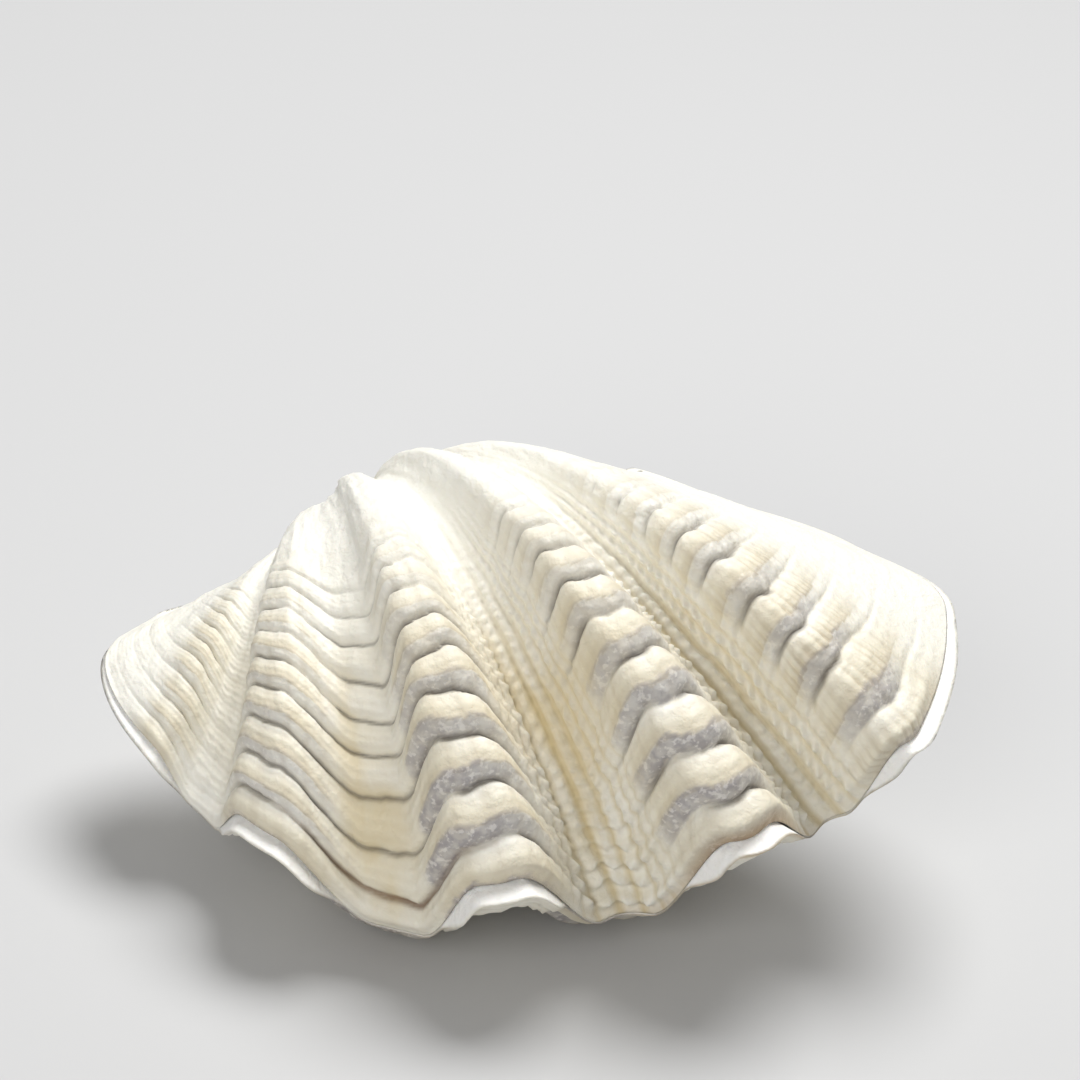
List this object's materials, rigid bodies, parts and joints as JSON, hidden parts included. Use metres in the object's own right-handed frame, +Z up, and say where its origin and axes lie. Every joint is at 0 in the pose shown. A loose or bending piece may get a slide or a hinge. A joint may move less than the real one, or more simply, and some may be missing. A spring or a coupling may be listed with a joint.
{
  "type": "giant clam shell",
  "caption": "Closed pair of fluted giant clam valves with shingled growth ledges and wavy interlocking margins, lying on the lower valve.",
  "frame": {"origin": "centre of the bounding box at table level, with the pair at rest on its lower valve", "axes": "+Z up; +X along the length of the shell, from the short end towards the long end; -Y is the side with the wavy free margin"},
  "size_m": [0.088, 0.0564, 0.0455],
  "materials": {
    "shell_upper": "satin chalky shell, ivory crests over cream bands with grey-lavender risers",
    "shell_lower": "satin chalky shell with a white porcelain lip along the margin"
  },
  "bodies": {
    "root": {"upper_valve": "shell_upper", "lower_valve": "shell_lower"}
  },
  "joints": []
}
